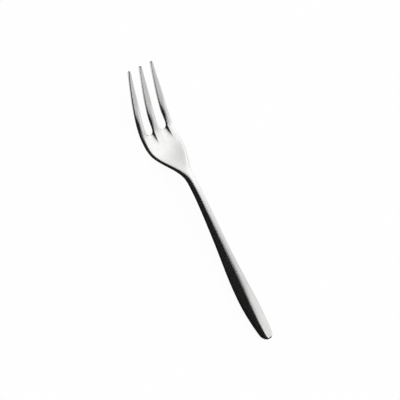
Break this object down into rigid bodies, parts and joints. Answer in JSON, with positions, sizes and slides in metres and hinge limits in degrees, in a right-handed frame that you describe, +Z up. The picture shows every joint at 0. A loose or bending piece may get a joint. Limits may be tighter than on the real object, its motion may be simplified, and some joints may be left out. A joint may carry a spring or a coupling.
{
  "type": "pastry fork",
  "caption": "Polished steel pastry fork: shallow bowl, tapering tines and a drop-shaped hollow handle with the head's tang set in it, for cutting and lifting cake.",
  "frame": {"origin": "on the table that the fork lies on, under the middle of its box", "axes": "+X along the fork towards the tine tips, +Y across it to the left with the tines ahead, +Z up out of the bowl"},
  "size_m": [0.15, 0.0216, 0.016],
  "materials": {
    "head_steel": "polished",
    "shell_steel": "polished",
    "filler": "matte"
  },
  "bodies": {
    "root": {"fork_head": "head_steel", "handle_upper_shell": "shell_steel", "handle_lower_shell": "shell_steel", "handle_filler": "filler"}
  },
  "joints": []
}
